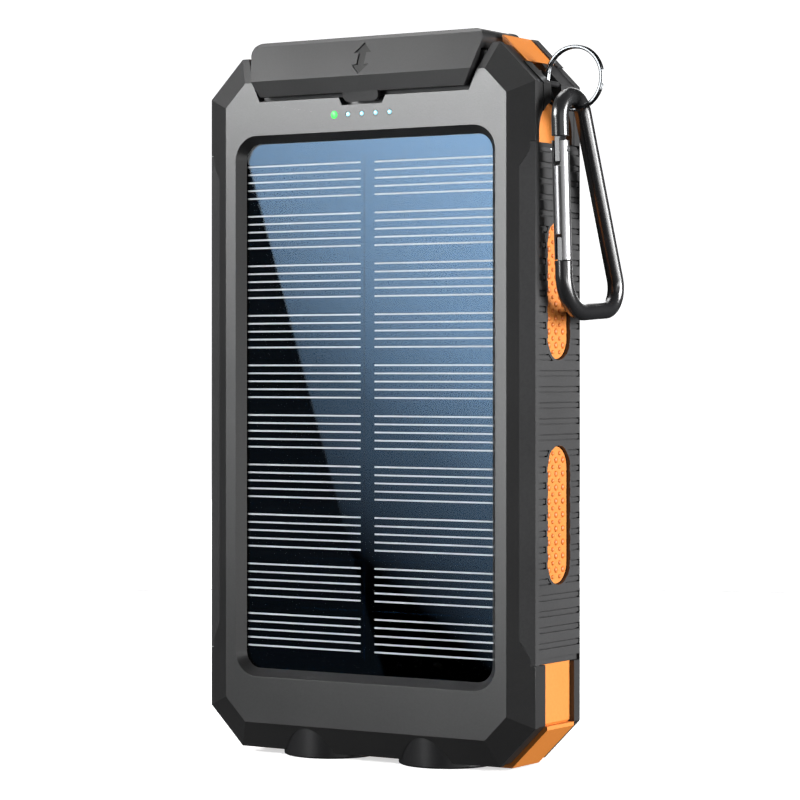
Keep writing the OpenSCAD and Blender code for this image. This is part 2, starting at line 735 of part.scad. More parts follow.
module torch_leads() color([0.1, 0.1, 0.1])
    for (s = [-1, 1]) lead([[s * torch_x, mid_y, barrel_top - 1.4], [s * torch_x, mid_y, barrel_top + 3],
                            [s * 28.65, mid_y, barrel_top + 5], [s * 28.65, mid_y, 39.5],
                            [s * 26.8, board_y + 0.8, 43]], 0.5);

// ---- torches ----

module torch_barrel() color([0.12, 0.12, 0.13]) difference() {
    rod_z(0, torch_y, -half_h - torch_out, barrel_top, torch_r);
    rod_z(0, torch_y, -half_h - torch_out - 1, barrel_top - 2.2, bore_r);
    rod_z(0, torch_y, barrel_top - 3, barrel_top + 1, 2.4);
}

module torch_barrel_left() translate([-torch_x, 0, 0]) torch_barrel();
module torch_barrel_right() translate([torch_x, 0, 0]) torch_barrel();

module torch_lens() color([0.85, 0.93, 1.0, 0.4]) 
    rod_z(0, torch_y, lens_z - lens_t / 2, lens_z + lens_t / 2, lens_r);
module torch_lens_left() translate([-torch_x, 0, 0]) torch_lens();
module torch_lens_right() translate([torch_x, 0, 0]) torch_lens();

// inner radius of the bowl-shaped reflector at a height above its rim
function bowl_r(z) = sqrt(58 - 6.6 * z) + 0.1;

module torch_reflector() color([0.85, 0.86, 0.88])
    translate([0, torch_y, lens_z + 0.6]) rotate_extrude()
        polygon(concat([for (z = [0 : bowl_h]) [bowl_r(z), z]],
                       [for (z = [bowl_h : -1 : 0]) [bowl_r(z) + bowl_t, z]]));
module torch_reflector_left() translate([-torch_x, 0, 0]) torch_reflector();
module torch_reflector_right() translate([torch_x, 0, 0]) torch_reflector();

module torch_led() {
    color([0.9, 0.9, 0.85]) rod_z(0, torch_y, emitter_z, barrel_top - 2.25, 7.5);
    color([1.0, 0.9, 0.4]) translate([-emitter_w / 2, torch_y - emitter_w / 2, emitter_z - 0.8])
        cube([emitter_w, emitter_w, 0.8 + eps]);
}
module torch_led_left() translate([-torch_x, 0, 0]) torch_led();
module torch_led_right() translate([torch_x, 0, 0]) torch_led();

module case_screws() color([0.2, 0.2, 0.2])
    for (p = screw_spots) difference() {
        union() {
            rod_y(p[0], p[1], -1.5, -0.3, 2.1);
            rod_y(p[0], p[1], -13.5, -1.5 + eps, screw_r);
        }
        translate([p[0], 0, p[1]]) for (a = [0, 90]) rotate([0, a, 0])
            translate([-1.3, -1.0, -0.3]) cube([2.6, 2, 0.6]);
    }

// ---- lanyard corner and snap hook ----

module lanyard_post() color([0.7, 0.71, 0.73])
    rod_y(post_x, post_z, mid_y - post_half, mid_y + post_half, post_r);

// two flat coils of spring steel lying against each other
module split_ring() color([0.75, 0.76, 0.78])
    translate([ring_x, mid_y, ring_z]) rotate([90, 0, 0]) rotate_extrude($fn = 96)
        for (s = [-1, 1])
            translate([ring_od / 2 - ring_wire / 2, s * (ring_coil_t / 2 + 0.02)])
                scale([ring_wire, ring_coil_t]) translate([-0.5, -0.5]) square(1);

function unit(v) = v / norm(v);
function cross2(u, v) = u[0] * v[1] - u[1] * v[0];
function u_in(i) = unit(hook_corners[i] - hook_corners[i - 1]);
function u_out(i) = unit(hook_corners[i + 1] - hook_corners[i]);
function turn_at(i) = atan2(cross2(u_in(i), u_out(i)), u_in(i) * u_out(i));
function turned(v, a) = [v[0] * cos(a) - v[1] * sin(a), v[0] * sin(a) + v[1] * cos(a)];

// points along the path with their directions: [point, direction]
hook_last = len(hook_corners) - 1;
hook_path = concat(
    [[hook_corners[0], u_out(0)]],
    [for (i = [1 : hook_last - 1])
        let (t = turn_at(i), r = hook_radii[i], s = sign(t), u = u_in(i),
             p = hook_corners[i] - u * r * tan(abs(t) / 2), c = p + turned(u, 90 * s) * r)
        for (k = [0 : bend_steps]) let (a = t * k / bend_steps)
            [c + turned(u, a - 90 * s) * r, turned(u, a)]],
    [[hook_corners[hook_last], u_in(hook_last)]]);

// round rod swept along the path in the plane x = hook_x
module hook_rod() {
    n = len(hook_path);
    points = [for (q = hook_path, k = [0 : rod_sides - 1])
        let (w = 360 * k / rod_sides, side = turned(q[1], 90))
        [hook_x + rod_r * cos(w), q[0][0] + rod_r * sin(w) * side[0], q[0][1] + rod_r * sin(w) * side[1]]];
    faces = concat(
        [for (i = [0 : n - 2], k = [0 : rod_sides - 1]) let (m = (k + 1) % rod_sides)
            [i * rod_sides + k, i * rod_sides + m, (i + 1) * rod_sides + m, (i + 1) * rod_sides + k]],
        [[for (k = [rod_sides - 1 : -1 : 0]) k]],
        [[for (k = [0 : rod_sides - 1]) (n - 1) * rod_sides + k]]);
    polyhedron(points, faces, convexity = 6);
}

module tongue(z0, z1)
    box(hook_x - tongue_t / 2, hook_x + tongue_t / 2, gate_y - tongue_w / 2, gate_y + tongue_w / 2, z0, z1);

// leans the hook about the point where it hangs in the ring
module hanging() translate([0, mid_y, hook_pivot_z]) rotate([hook_tilt, 0, 0])
    translate([0, -mid_y, -hook_pivot_z]) children();

module hook_body() color([0.1, 0.1, 0.11]) hanging() {
    hook_rod();
    // flat tongues that the gate closes over
    difference() {
        tongue(47.5, 53);
        rod_x(gate_y, pin_z, hook_x - 3, hook_x + 3, pin_r + running_gap);
    }
    tongue(27.9, 32.9);
}

module hook_gate() color([0.8, 0.81, 0.83]) hanging() difference() {
    slot_half = tongue_t / 2 + slot_side;
    rod_z(hook_x, gate_y, gate_z0, gate_z1, rod_r);
    box(hook_x - slot_half, hook_x + slot_half, gate_y - 3, gate_y + 3, 46.7, 60);
    box(hook_x - slot_half, hook_x + slot_half, gate_y - 3, gate_y + 3, 20, 33.5);
    rod_z(hook_x, gate_y, spring_z0 - 0.2, 47, gate_bore_r);
    rod_x(gate_y, pin_z, hook_x - 3, hook_x + 3, pin_r);
}

module gate_pin() color([0.7, 0.71, 0.73]) hanging()
    rod_x(gate_y, pin_z, hook_x - rod_r - 0.1, hook_x + rod_r + 0.1, pin_r);

module gate_plunger() color([0.7, 0.71, 0.73]) hanging()
    rod_z(hook_x, gate_y, plunger_z[0], plunger_z[1], plunger_r);

// coil of the gate spring
module gate_spring() color([0.7, 0.71, 0.73]) hanging() {
    turns = 5;
    coil_r = 0.62;
    wire_r = 0.15;
    sides = 6;
    steps = turns * 10;
    rise = spring_len / steps;
    points = [for (i = [0 : steps], k = [0 : sides - 1])
        let (a = i * 36, w = k * 360 / sides, r = coil_r + wire_r * cos(w))
        [hook_x + r * cos(a), gate_y + r * sin(a), spring_z0 + i * rise + wire_r * sin(w)]];
    faces = concat(
        [for (i = [0 : steps - 1], k = [0 : sides - 1]) let (n = (k + 1) % sides)
            each [[i * sides + k, i * sides + n, (i + 1) * sides + n],
                  [i * sides + k, (i + 1) * sides + n, (i + 1) * sides + k]]],
        [[for (k = [sides - 1 : -1 : 0]) k]], [[for (k = [0 : sides - 1]) steps * sides + k]]);
    polyhedron(points, faces);
}

front_shell();
rear_shell();
bumper_frame();
left_grip();
right_grip();
panel_cover();
panel_gasket();
solar_cells();
cell_fingers();
panel_backing();
port_cover();
port_bezel();
usb_a_port_left();
usb_a_port_right();
usb_c_port();
main_board();
board_chips();
inductor();
status_leds();
light_pipe();
power_button();
tact_switch();
battery_cell();
battery_foam();
battery_leads();
panel_leads();
torch_leads();
torch_barrel_left();
torch_barrel_right();
torch_lens_left();
torch_lens_right();
torch_reflector_left();
torch_reflector_right();
torch_led_left();
torch_led_right();
case_screws();
lanyard_post();
split_ring();
hook_body();
hook_gate();
gate_pin();
gate_plunger();
gate_spring();
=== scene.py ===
"""Looks of the pocket solar charger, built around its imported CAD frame. All lengths are in metres."""
import math

import bmesh
import bpy
from mathutils import Matrix, Vector


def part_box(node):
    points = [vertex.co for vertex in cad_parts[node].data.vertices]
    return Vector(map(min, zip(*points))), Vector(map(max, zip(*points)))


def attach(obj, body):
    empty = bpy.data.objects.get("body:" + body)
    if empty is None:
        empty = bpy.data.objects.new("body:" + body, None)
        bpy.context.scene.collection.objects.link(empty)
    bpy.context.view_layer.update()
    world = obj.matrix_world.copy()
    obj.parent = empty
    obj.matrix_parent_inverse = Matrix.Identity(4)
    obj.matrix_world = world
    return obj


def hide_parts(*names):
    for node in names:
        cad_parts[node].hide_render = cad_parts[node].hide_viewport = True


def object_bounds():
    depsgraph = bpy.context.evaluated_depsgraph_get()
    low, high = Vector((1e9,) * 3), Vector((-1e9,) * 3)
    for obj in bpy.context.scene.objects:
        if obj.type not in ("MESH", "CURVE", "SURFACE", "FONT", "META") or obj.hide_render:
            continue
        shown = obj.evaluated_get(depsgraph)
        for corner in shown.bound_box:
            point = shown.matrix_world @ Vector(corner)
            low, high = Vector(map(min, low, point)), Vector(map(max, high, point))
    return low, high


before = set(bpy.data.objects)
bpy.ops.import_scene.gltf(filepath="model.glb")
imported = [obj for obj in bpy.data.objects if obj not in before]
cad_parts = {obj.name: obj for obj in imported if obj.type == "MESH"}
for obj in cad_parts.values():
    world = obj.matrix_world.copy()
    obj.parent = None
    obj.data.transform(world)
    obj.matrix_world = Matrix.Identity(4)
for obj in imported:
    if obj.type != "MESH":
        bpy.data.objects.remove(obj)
CAD_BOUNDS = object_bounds()
MM = 0.001
CASE, FLAP, BUTTON, RING, HOOK, GATE = "case", "port_flap", "button", "ring", "hook", "gate"


# ---------------------------------------------------------------- places read from the frame

SHELL_LO, SHELL_HI = (Vector(v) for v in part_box("front_shell"))
COVER_LO, COVER_HI = (Vector(v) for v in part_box("panel_cover"))
FLAP_LO, FLAP_HI = (Vector(v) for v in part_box("port_cover"))
FACE_Y = SHELL_LO.y
HALF_H = SHELL_HI.z
FLOOR_Z = CAD_BOUNDS[0][2]
GLASS_MID = (COVER_LO + COVER_HI) / 2
GLASS_W = COVER_HI.x - COVER_LO.x
GLASS_H = COVER_HI.z - COVER_LO.z
PAD_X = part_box("bumper_frame")[1][0] - 0.75 * MM      # face of the orange pads in the grips' windows
WINDOW_Y = -9.5 * MM
WINDOW_ZS = (-21.8 * MM, 22.4 * MM)
WINDOW_W, WINDOW_L = 8.6 * MM, 27.2 * MM
NUB_PITCH, NUB_R, NUB_RISE = 2.7 * MM, 0.66 * MM, 0.32 * MM
WINDOW_MARGIN = 0.5 * MM                              # the nubs keep this far from the window's edge
LENS_RISE = 0.16 * MM
GREEN_LENS_R, WHITE_LENS_R = 0.8 * MM, 0.46 * MM
STATUS_CHIP = 1.0 * MM                                # width of one status light chip
SLOPE_LOW = (FLAP_LO.y, HALF_H - 5.2 * MM)            # the sloping face of the port cover, as (y, z)
SLOPE_TOP = (FLAP_LO.y + 2.85 * MM, FLAP_HI.z - 0.8 * MM)
ARROW_MIDDLE = 3.75 * MM                              # middle of the double arrow, up the slope
ARROW_DEPTHS = (0.27 * MM, 0.45 * MM)                 # the painted shade's front and back, below the slope


# ---------------------------------------------------------------- shader helpers

def socket(node, *names):
    """The first input of the node that has one of the names."""
    for name in names:
        if name in node.inputs:
            return node.inputs[name]
    raise KeyError(names)


def new_material(name):
    material = bpy.data.materials.new(name)
    material.use_nodes = True
    tree = material.node_tree
    return material, tree, tree.nodes["Principled BSDF"]


def add(tree, kind, **values):
    """A new shader node with its inputs and properties set by name."""
    node = tree.nodes.new(kind)
    for key, value in values.items():
        if key in node.inputs:
            node.inputs[key].default_value = value
        else:
            setattr(node, key, value)
    return node


def object_point(tree):
    return tree.nodes.new("ShaderNodeTexCoord").outputs["Object"]


def ramp(tree, source, stops):
    """A colour ramp over a value; stops are (position, colour) pairs."""
    node = tree.nodes.new("ShaderNodeValToRGB")
    elements = node.color_ramp.elements
    while len(elements) < len(stops):
        elements.new(0.5)
    for element, (position, colour) in zip(elements, stops):
        element.position = position
        element.color = (*colour, 1.0)
    tree.links.new(source, node.inputs["Fac"])
    return node.outputs["Color"]


def noise(tree, scale, detail=2.0, roughness=0.5, point=None):
    node = add(tree, "ShaderNodeTexNoise", Scale=scale, Detail=detail, Roughness=roughness)
    tree.links.new(point or object_point(tree), node.inputs["Vector"])
    return node.outputs["Fac"]


def bump(tree, shader, height, strength, distance):
    node = add(tree, "ShaderNodeBump", Strength=strength, Distance=distance)
    tree.links.new(height, node.inputs["Height"])
    tree.links.new(node.outputs["Normal"], shader.inputs["Normal"])


def mapped(tree, source, low, high):
    node = add(tree, "ShaderNodeMapRange")
    node.inputs["To Min"].default_value = low
    node.inputs["To Max"].default_value = high
    tree.links.new(source, node.inputs["Value"])
    return node.outputs["Result"]


# ---------------------------------------------------------------- materials

BLOTCH_SHARE = 0.35       # how much of a plastic's tone comes from blotches; the rest comes from its grain
METAL_STREAK = 0.86       # tone of the darker streaks in metal
CHIP_SHADE = 0.8          # tone of the darker grains of a light chip


def grained_plastic(name, dark, light, grain=2600, roughness=(0.42, 0.58), depth=0.00003, strength=0.45,
                    gloss=0.5):
    """Moulded plastic with a fine spark-eroded texture and slight blotches of tone."""
    material, tree, shader = new_material(name)
    fine = noise(tree, grain, 3.0, 0.6)
    broad = noise(tree, 45, 3.0, 0.5)
    blend = add(tree, "ShaderNodeMath", operation="MULTIPLY_ADD")
    blend.inputs[1].default_value = BLOTCH_SHARE
    tree.links.new(broad, blend.inputs[0])
    tree.links.new(mapped(tree, fine, 0.0, 1.0 - BLOTCH_SHARE), blend.inputs[2])
    colour = ramp(tree, blend.outputs[0], [(0.25, dark), (0.75, light)])
    tree.links.new(colour, shader.inputs["Base Color"])
    tree.links.new(mapped(tree, broad, *roughness), shader.inputs["Roughness"])
    shader.inputs["Specular IOR Level"].default_value = gloss
    bump(tree, shader, fine, strength, depth)
    return material


def plain_metal(name, colour, roughness=(0.18, 0.3), stretch=(1, 1, 1), scale=900):
    """Metal with fine drawn or polished streaks."""
    material, tree, shader = new_material(name)
    mapping = add(tree, "ShaderNodeMapping")
    mapping.inputs["Scale"].default_value = stretch
    tree.links.new(object_point(tree), mapping.inputs["Vector"])
    streaks = noise(tree, scale, 4.0, 0.6, mapping.outputs["Vector"])
    shader.inputs["Metallic"].default_value = 1.0
    tone = ramp(tree, streaks, [(0.3, tuple(c * METAL_STREAK for c in colour)), (0.7, colour)])
    tree.links.new(tone, shader.inputs["Base Color"])
    tree.links.new(mapped(tree, streaks, *roughness), shader.inputs["Roughness"])
    return material


def clear_cover(name, roughness=0.012):
    """Clear plastic or glass, with the faintest haze."""
    material, tree, shader = new_material(name)
    shader.inputs["Base Color"].default_value = (0.96, 0.98, 1.0, 1.0)
    socket(shader, "Transmission Weight", "Transmission").default_value = 1.0
    shader.inputs["IOR"].default_value = 1.5
    haze = noise(tree, 60, 2.0)
    tree.links.new(mapped(tree, haze, roughness * 0.6, roughness * 1.4), shader.inputs["Roughness"])
    return material


def cell_material(name):
    """Dark silicon under its blue anti-reflective coat, slightly uneven over the wafer."""
    material, tree, shader = new_material(name)
    tone = noise(tree, 30, 3.0)
    colour = ramp(tree, tone, [(0.3, (0.018, 0.08, 0.155)), (0.75, (0.021, 0.09, 0.175))])
    tree.links.new(colour, shader.inputs["Base Color"])
    shader.inputs["Metallic"].default_value = 1.0
    tree.links.new(mapped(tree, tone, 0.008, 0.016), shader.inputs["Roughness"])
    return material


def glowing(name, colour, strength):
    """A light chip or its lens, grainy like phosphor."""
    material, tree, shader = new_material(name)
    grain = noise(tree, 3000, 2.0)
    shade = ramp(tree, grain, [(0.0, tuple(c * CHIP_SHADE for c in colour)), (1.0, colour)])
    tree.links.new(shade, shader.inputs["Base Color"])
    tree.links.new(shade, shader.inputs["Emission Color"])
    shader.inputs["Emission Strength"].default_value = strength
    shader.inputs["Roughness"].default_value = 0.3
    return material


def hook_paint(name):
    """Satin black anodised metal."""
    material, tree, shader = new_material(name)
    fine = noise(tree, 90, 3.0)
    colour = ramp(tree, fine, [(0.3, (0.013, 0.013, 0.014)), (0.7, (0.019, 0.019, 0.02))])
    tree.links.new(colour, shader.inputs["Base Color"])
    shader.inputs["Specular IOR Level"].default_value = 1.0
    tree.links.new(mapped(tree, fine, 0.19, 0.25), shader.inputs["Roughness"])
    return material


MATERIALS = {
    "shell": grained_plastic("shell_plastic_look", (0.013, 0.013, 0.0135), (0.026, 0.026, 0.0265),
                             roughness=(0.29, 0.36), gloss=1.0),
    "rear": grained_plastic("rear_plastic_look", (0.02, 0.02, 0.021), (0.036, 0.036, 0.037),
                            roughness=(0.38, 0.48)),
    "flap": grained_plastic("flap_plastic_look", (0.013, 0.013, 0.0135), (0.026, 0.026, 0.0265),
                            roughness=(0.29, 0.36), gloss=1.0),
    "grip": grained_plastic("grip_rubber_look", (0.022, 0.022, 0.023), (0.04, 0.04, 0.041),
                            1800, (0.42, 0.55)),
    "orange": grained_plastic("bumper_rubber_look", (0.62, 0.19, 0.028), (0.7, 0.24, 0.045),
                              1500, (0.42, 0.55), 0.00002, 0.3),
    # The nubs take a darker orange than the pads: painted shade for the dark look of the dots.
    "nub_painted_shade": grained_plastic("window_nubs_painted_shade_look", (0.56, 0.14, 0.018), (0.66, 0.2, 0.03),
                            1500, (0.4, 0.5), 0.00002, 0.3),
    "black": grained_plastic("black_plastic_look", (0.018, 0.018, 0.019), (0.035, 0.035, 0.037),
                             2200, (0.32, 0.45)),
    "barrel": grained_plastic("barrel_plastic_look", (0.01, 0.01, 0.011), (0.018, 0.018, 0.019),
                              2600, (0.28, 0.38)),
    "board": grained_plastic("board_look", (0.01, 0.07, 0.03), (0.02, 0.12, 0.05), 900, (0.25, 0.35)),
    "foil": plain_metal("battery_foil_look", (0.7, 0.7, 0.72), (0.3, 0.45)),
    "lead": grained_plastic("lead_insulation_look", (0.35, 0.02, 0.02), (0.45, 0.03, 0.03),
                            1500, (0.3, 0.45)),
    "print": grained_plastic("cell_print_look", (0.6, 0.62, 0.64), (0.72, 0.74, 0.76), 3000, (0.3, 0.4)),
    "steel": plain_metal("port_steel_look", (0.72, 0.73, 0.75), (0.2, 0.32)),
    "ring": plain_metal("ring_steel_look", (0.25, 0.26, 0.27), (0.14, 0.22), (1, 0.1, 1)),
    "gate": plain_metal("gate_metal_look", (0.42, 0.42, 0.43), (0.26, 0.34), (1, 1, 0.05)),
    "mirror": plain_metal("reflector_look", (0.92, 0.92, 0.93), (0.04, 0.08)),
    "screw": plain_metal("screw_steel_look", (0.12, 0.12, 0.125), (0.3, 0.45)),
    "clear": clear_cover("panel_clear_look"),
    # a darker fill in the engraved arrow's floor: painted shade in the recess
    "arrow_shade": grained_plastic("arrow_painted_shade_look", (0.008, 0.008, 0.008), (0.014, 0.014, 0.014)),
    "lit_green": glowing("green_light_look", (0.07, 0.75, 0.12), 1.1),
    "lit_white": glowing("white_light_look", (0.45, 0.85, 0.95), 1.15),
    "pipe": clear_cover("light_pipe_look", 0.1),
    "cell": cell_material("solar_cell_look"),
    "led": glowing("torch_led_look", (1.0, 0.88, 0.45), 0.0),
    "hook": hook_paint("hook_paint_look"),
}


def dress(obj, look):
    obj.data.materials.clear()
    obj.data.materials.append(MATERIALS[look])


# ---------------------------------------------------------------- CAD nodes with softened edges

SAME_POINT = 0.004 * MM       # corners closer than this are one corner
FLAT_ANGLE = 0.6              # faces that meet at less than this many degrees are one face
HARD_EDGE = 14                # edges sharper than this many degrees are rounded
ROUND_EDGE = 40               # the same, for pieces with a faceted round surface


def softened(node, width, look, body=CASE, segments=2, sharp=HARD_EDGE):
    """A copy of a CAD node whose sharp edges are rounded, standing for that node."""
    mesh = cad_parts[node].data.copy()
    piece = bpy.data.objects.new(node + "_finished", mesh)
    bpy.context.scene.collection.objects.link(piece)
    work = bmesh.new()
    work.from_mesh(mesh)
    bmesh.ops.remove_doubles(work, verts=work.verts, dist=SAME_POINT)
    bmesh.ops.dissolve_limit(work, angle_limit=math.radians(FLAT_ANGLE), verts=work.verts, edges=work.edges)
    wide = [face for face in work.faces if len(face.verts) > 4]
    bmesh.ops.triangulate(work, faces=wide, quad_method="BEAUTY", ngon_method="BEAUTY")
    limit = math.radians(sharp)
    for face in work.faces:
        face.smooth = True
    for edge in work.edges:
        edge.smooth = not (len(edge.link_faces) == 2 and edge.calc_face_angle() > limit)
    work.to_mesh(mesh)
    work.free()
    rounding = piece.modifiers.new("rounding", "BEVEL")
    rounding.width = width
    rounding.segments = segments
    rounding.limit_method = "ANGLE"
    rounding.angle_limit = limit
    rounding.use_clamp_overlap = True
    rounding.miter_outer = "MITER_ARC"
    flat = piece.modifiers.new("flat_faces", "WEIGHTED_NORMAL")
    flat.weight = 100
    flat.keep_sharp = True
    dress(piece, look)
    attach(piece, body)
    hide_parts(node)
    return piece


softened("front_shell", 0.35 * MM, "shell")
softened("rear_shell", 0.3 * MM, "rear")
softened("bumper_frame", 0.3 * MM, "orange")
softened("right_grip", 0.12 * MM, "grip")
softened("left_grip", 0.12 * MM, "grip")
softened("port_cover", 0.3 * MM, "flap", FLAP)
softened("torch_barrel_left", 0.35 * MM, "barrel")
softened("torch_barrel_right", 0.35 * MM, "barrel")
softened("port_bezel", 0.15 * MM, "black")
softened("power_button", 0.5 * MM, "black", BUTTON, 3)
softened("split_ring", 0.27 * MM, "ring", RING, 3, ROUND_EDGE)
softened("hook_body", 0.12 * MM, "hook", HOOK, 2, ROUND_EDGE)
softened("hook_gate", 0.15 * MM, "gate", GATE, 2, ROUND_EDGE)

DRESSED = {
    "clear": ["panel_cover", "torch_lens_left", "torch_lens_right"],
    "cell": ["solar_cells", "panel_backing"],
    "print": ["cell_fingers"],
    "black": ["lanyard_post", "panel_gasket", "board_chips", "inductor", "tact_switch", "battery_foam"],
    "steel": ["usb_a_port_left", "usb_a_port_right", "usb_c_port", "gate_pin", "gate_plunger", "gate_spring"],
    "board": ["main_board"],
    "foil": ["battery_cell"],
    "lead": ["battery_leads", "panel_leads", "torch_leads"],
    "mirror": ["torch_reflector_left", "torch_reflector_right"],
    "led": ["torch_led_left", "torch_led_right"],
    "lit_white": ["status_leds"],
    "pipe": ["light_pipe"],
    "screw": ["case_screws"],
}
for look, nodes in DRESSED.items():
    for node in nodes:
        dress(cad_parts[node], look)
for node in DRESSED["clear"]:
    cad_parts[node].visible_shadow = False       # light passes through to what lies behind


# ---------------------------------------------------------------- small pieces added to the frame

def new_piece(name, work, look, body=CASE):
    """A piece from a bmesh, which it frees."""
    mesh = bpy.data.meshes.new(name)
    work.normal_update()
    work.to_mesh(mesh)
    work.free()
    piece = bpy.data.objects.new(name, mesh)
    bpy.context.scene.collection.objects.link(piece)
    dress(piece, look)
    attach(piece, body)
    return piece


def add_dome(work, centre, out, radius, height, around=14, up=3):
    """A closed shallow dome that rises from its centre along out, with a flat base just below."""
    axis = Vector(out)
    side = axis.orthogonal().normalized()
    other = axis.cross(side)
    centre = Vector(centre)
    rings = [(radius, -0.2 * height)]
    rings += [(radius * math.cos(a), height * math.sin(a)) for a in (math.pi / 2 * i / up for i in range(up))]
    verts = []
    for r, h in rings:
        verts.append([work.verts.new(centre + axis * h + (side * math.cos(t) + other * math.sin(t)) * r)
                      for t in (2 * math.pi * k / around for k in range(around))])
    tip = work.verts.new(centre + axis * height)
    for low, high in zip(verts, verts[1:]):
        for k in range(around):
            n = (k + 1) % around
            work.faces.new((low[k], low[n], high[n], high[k])).smooth = True
    for k in range(around):
        work.faces.new((verts[-1][k], verts[-1][(k + 1) % around], tip)).smooth = True
    work.faces.new(list(reversed(verts[0])))


def window_nubs():
    """Nubs on the orange pads in the grips' windows, in three columns with smaller ones between."""
    work = bmesh.new()
    radius = WINDOW_W / 2 - WINDOW_MARGIN
    half = WINDOW_L / 2 - WINDOW_MARGIN
    rows = int(half / (NUB_PITCH / 2))
    for side in (-1, 1):
        for middle in WINDOW_ZS:
            for row in range(-rows, rows + 1):
                offsets = (-1, 0, 1) if row % 2 == 0 else (-0.5, 0.5)
                size = NUB_R if row % 2 == 0 else 0.7 * NUB_R
                for offset in offsets:
                    y = offset * NUB_PITCH
                    z = row * NUB_PITCH / 2
                    end = max(abs(z) - (half - radius), 0)
                    if math.hypot(y, end) + size < radius:
                        add_dome(work, (side * PAD_X, WINDOW_Y + y, middle + z), (side, 0, 0), size, NUB_RISE)
    # the nubs' darker orange is painted shade, not a colour of their own
    new_piece("window_nubs", work, "nub_painted_shade")


def status_lenses():
    """Lens caps of the five status lights. The first one shows green and is a little wider."""
    low, high = (Vector(v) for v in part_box("status_leds"))
    pitch = (high.x - low.x - STATUS_CHIP) / 4
    z = (low.z + high.z) / 2
    for i in range(5):
        work = bmesh.new()
        radius = GREEN_LENS_R if i == 0 else WHITE_LENS_R
        add_dome(work, (low.x + STATUS_CHIP / 2 + i * pitch, FACE_Y, z), (0, -1, 0), radius, LENS_RISE, 20)
        new_piece(f"status_lens_{i + 1}", work, "lit_green" if i == 0 else "lit_white")


def arrow_fill():
    """Painted shade: a dark fill in the floor of the double arrow that is engraved in the port cover's
    sloping face.
    """
    stem, head, shoulder, tip = 0.82 * MM, 1.95 * MM, 1.34 * MM, 3.4 * MM
    right = [(stem, shoulder), (head, shoulder), (0, tip)]
    upper = right + [(-x, z) for x, z in reversed(right[:2])]
    outline = upper + [(-x, -z) for x, z in upper]
    slope = Vector((0, SLOPE_TOP[0] - SLOPE_LOW[0], SLOPE_TOP[1] - SLOPE_LOW[1])).normalized()
    out = Vector((0, -slope.z, slope.y))
    middle = Vector((0, *SLOPE_LOW)) + slope * ARROW_MIDDLE
    work = bmesh.new()
    front, back = ([work.verts.new(middle + Vector((x, 0, 0)) + slope * z - out * depth) for x, z in outline]
                   for depth in ARROW_DEPTHS)
    count = len(outline)
    work.faces.new(front)
    work.faces.new(list(reversed(back)))
    for k in range(count):
        n = (k + 1) % count
        work.faces.new((front[n], front[k], back[k], back[n]))
    bmesh.ops.recalc_face_normals(work, faces=work.faces)
    new_piece("arrow_fill", work, "arrow_shade", FLAP)


window_nubs()
status_lenses()
arrow_fill()


# ---------------------------------------------------------------- camera and studio

VIEW_ANGLE = math.radians(32.8)       # the camera stands this far round to the right of the panel's normal
VIEW_DISTANCE = 597.5 * MM
VIEW_HEIGHT = 6.8 * MM
VIEW_SIDE = 2.0 * MM
SENSOR_WIDTH, LENS_LENGTH = 36, 132   # in millimetres
SHIFT_Y = -0.0379
MID_Y = FACE_Y / 2
SKY_STRENGTH = 2.9
SKY_REACH = 0.62                      # the sky card stands this far in front of the glass
WORLD_STRENGTH = 0.02
FLOOR_GLOW, SHEET_GLOW = 0.6, 1.0


def camera():
    data = bpy.data.cameras.new("camera")
    data.sensor_width = SENSOR_WIDTH
    data.lens = LENS_LENGTH
    data.shift_y = SHIFT_Y
    data.clip_start = 0.01
    obj = bpy.data.objects.new("camera", data)
    right = Vector((math.cos(VIEW_ANGLE), math.sin(VIEW_ANGLE), 0))
    ahead = Vector((-math.sin(VIEW_ANGLE), math.cos(VIEW_ANGLE), 0))
    obj.location = Vector((0, MID_Y, VIEW_HEIGHT)) + VIEW_SIDE * right - VIEW_DISTANCE * ahead
    obj.rotation_euler = (math.pi / 2, 0, VIEW_ANGLE)
    bpy.context.scene.collection.objects.link(obj)
    bpy.context.scene.camera = obj
    return obj


def area_light(name, place, target, width, height, power):
    data = bpy.data.lights.new(name, "AREA")
    data.shape = "RECTANGLE"
    data.size = width
    data.size_y = height
    data.energy = power
    obj = bpy.data.objects.new(name, data)
    obj.location = place
    obj.rotation_euler = (Vector(target) - Vector(place)).to_track_quat("-Z", "Y").to_euler()
    bpy.context.scene.collection.objects.link(obj)
    return obj


def mirrored(x, z, reach):
    """The point that the camera sees in the panel's glass at (x, z), on a plane this far in front of it."""
    glass = Vector((x, COVER_LO.y, z))
    ray = glass - bpy.context.scene.camera.location
    ray.y = -ray.y
    return glass + ray * (reach / -ray.y)


def stage_mesh(name, rows, material):
    """A sheet through rows of points that isn't part of the object."""
    mesh = bpy.data.meshes.new(name)
    work = bmesh.new()
    verts = [[work.verts.new(v) for v in row] for row in rows]
    for a, b in zip(verts, verts[1:]):
        for i in range(len(a) - 1):
            work.faces.new((a[i], a[i + 1], b[i + 1], b[i])).smooth = True
    work.to_mesh(mesh)
    work.free()
    mesh.materials.append(material)
    obj = bpy.data.objects.new(name, mesh)
    bpy.context.scene.collection.objects.link(obj)
    return obj


